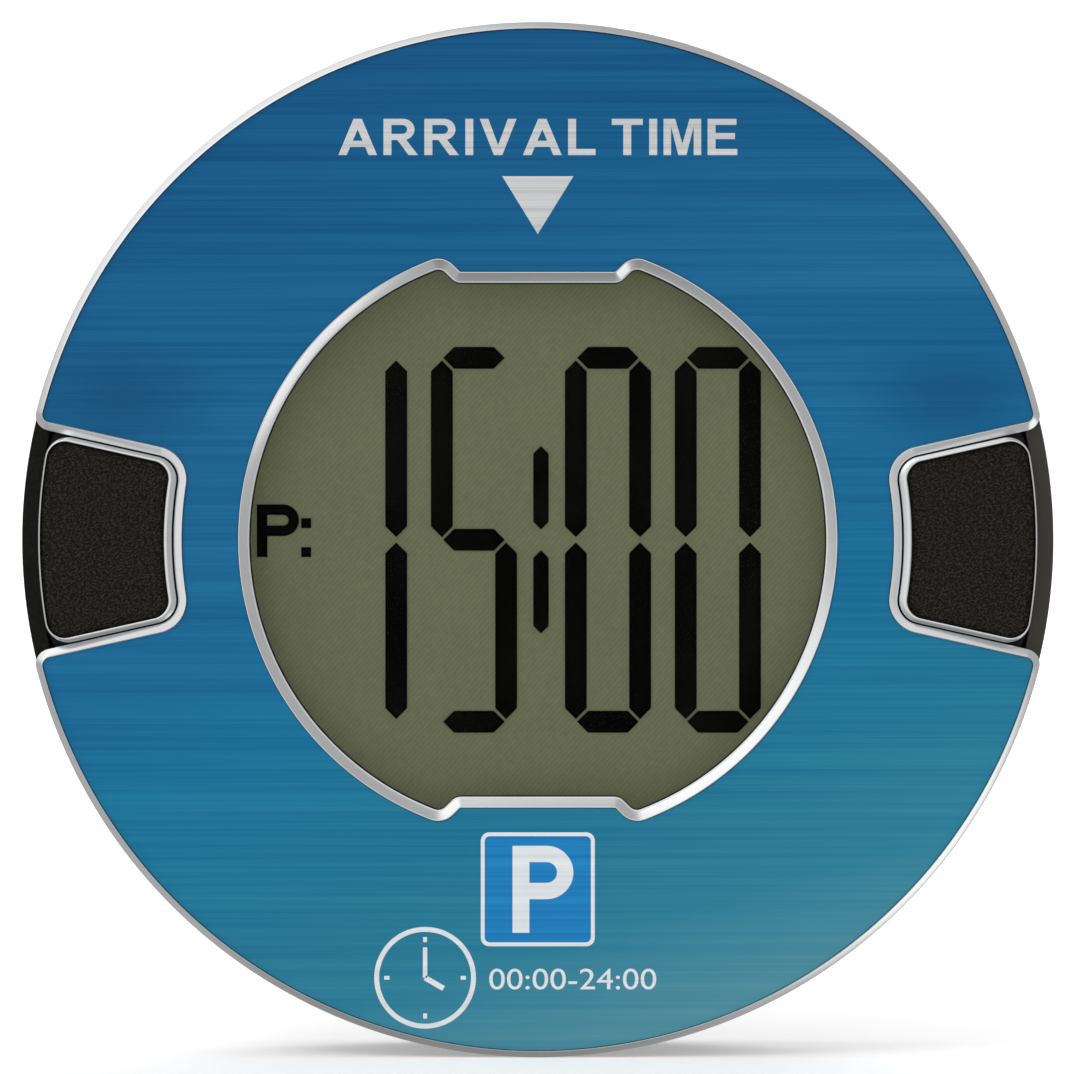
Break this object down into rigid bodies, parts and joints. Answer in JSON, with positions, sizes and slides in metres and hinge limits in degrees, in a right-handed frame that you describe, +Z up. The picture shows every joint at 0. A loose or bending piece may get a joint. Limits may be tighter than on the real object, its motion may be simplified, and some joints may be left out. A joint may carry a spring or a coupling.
{
  "type": "electronic parking disc",
  "caption": "Round electronic parking disc: chromed bezel, brushed blue plate, large display with the time, two grained side keys, sliding battery cover on the back.",
  "frame": {"origin": "centre of the flat back face", "axes": "+Y out of the back face, so the display faces -Y; +Z up on the display; +X to the right as the display is read"},
  "size_m": [0.0798, 0.0155, 0.08],
  "materials": {
    "case_plastic": "fine matte texture",
    "bezel_chrome": "satin chrome",
    "plate_blue": "brushed and anodised blue, with pale printed legends",
    "adhesive": "adhesive sheet",
    "frame_chrome": "satin chrome",
    "window_clear": "clear",
    "gasket_foam": "foam",
    "polarizer": "matte film",
    "lcd_glass": "clear",
    "segments": "black liquid crystal",
    "reflector": "olive reflector",
    "holder_plastic": "plain",
    "zebra_rubber": "layered conductive rubber",
    "board_laminate": "green solder mask",
    "chip_plastic": "moulded",
    "crystal_can": "plain",
    "capacitor_ceramic": "fired",
    "capacitor_can": "plain",
    "gold": "gold plated",
    "dome_rubber": "silicone rubber",
    "slider_plastic": "plain",
    "trim_chrome": "polished chrome",
    "pad_grain": "leather grain",
    "cell_steel": "nickel plated",
    "contact_metal": "spring bronze",
    "cover_plastic": "fine matte texture",
    "screw_steel": "zinc plated"
  },
  "bodies": {
    "case": {"rear_case": "case_plastic", "front_bezel": "bezel_chrome", "face_plate": "plate_blue", "plate_adhesive": "adhesive", "display_frame": "frame_chrome", "display_window": "window_clear", "window_gasket": "gasket_foam", "lcd_polarizer": "polarizer", "lcd_front_glass": "lcd_glass", "lcd_segments": "segments", "lcd_rear_glass": "lcd_glass", "lcd_reflector": "reflector", "lcd_holder": "holder_plastic", "zebra_strip_top": "zebra_rubber", "zebra_strip_bottom": "zebra_rubber", "main_board": "board_laminate", "microcontroller": "chip_plastic", "quartz_crystal": "crystal_can", "motion_sensor": "chip_plastic", "chip_capacitors": "capacitor_ceramic", "buffer_capacitor": "capacitor_can", "key_contacts": "gold", "left_key_dome": "dome_rubber", "right_key_dome": "dome_rubber", "battery_holder": "holder_plastic", "coin_cell_left": "cell_steel", "coin_cell_right": "cell_steel", "negative_contacts": "contact_metal", "positive_contacts": "contact_metal", "case_screws": "screw_steel"},
    "left_key": {"left_key_slider": "slider_plastic", "left_key_trim": "trim_chrome", "left_key_pad": "pad_grain"},
    "right_key": {"right_key_slider": "slider_plastic", "right_key_trim": "trim_chrome", "right_key_pad": "pad_grain"},
    "battery_cover_body": {"battery_cover": "cover_plastic"}
  },
  "joints": [
    {"name": "left_key_press", "type": "slide", "parent": "case", "child": "left_key", "axis": [0, 1, 0], "range_m": [0, 0.0008], "stiffness_N_per_m": 1500, "springref_m": -0.0003, "deforming": ["left_key_dome"]},
    {"name": "right_key_press", "type": "slide", "parent": "case", "child": "right_key", "axis": [0, 1, 0], "range_m": [0, 0.0008], "stiffness_N_per_m": 1500, "springref_m": -0.0003, "deforming": ["right_key_dome"]},
    {"name": "battery_cover_slide", "type": "slide", "parent": "case", "child": "battery_cover_body", "axis": [0, 0, -1], "range_m": [0, 0.026]}
  ]
}
